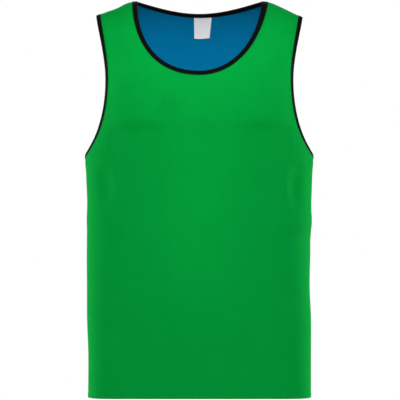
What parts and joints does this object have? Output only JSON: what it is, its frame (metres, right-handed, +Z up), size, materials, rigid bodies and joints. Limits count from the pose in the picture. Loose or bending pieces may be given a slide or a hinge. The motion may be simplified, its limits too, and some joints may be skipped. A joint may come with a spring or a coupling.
{
  "type": "worn reversible rugby jersey, sleeveless",
  "caption": "Sleeveless reversible training jersey in its worn shape, open at neck, armholes and hem, with bound edges and a contrasting inner layer.",
  "frame": {"origin": "midway between the two shoulder seams, at the mean height of the seams, where the wearer's shoulders hold the garment", "axes": "+Z up, -Y to the garment's front, +X to the viewer's right when the front is seen"},
  "size_m": [0.4261, 0.2341, 0.7321],
  "materials": {
    "outer_cloth": "bright green knitted polyester, matt with a faint sheen",
    "inner_cloth": "blue knitted polyester, matt",
    "binding_tape": "black knitted tape, folded and stitched",
    "label_cloth": "white woven satin, bare"
  },
  "bodies": {
    "root": {"front_outer": "outer_cloth", "back_outer": "outer_cloth", "front_inner": "inner_cloth", "back_inner": "inner_cloth", "neck_binding": "binding_tape", "armhole_binding_left": "binding_tape", "armhole_binding_right": "binding_tape", "neck_label": "label_cloth"}
  },
  "joints": []
}
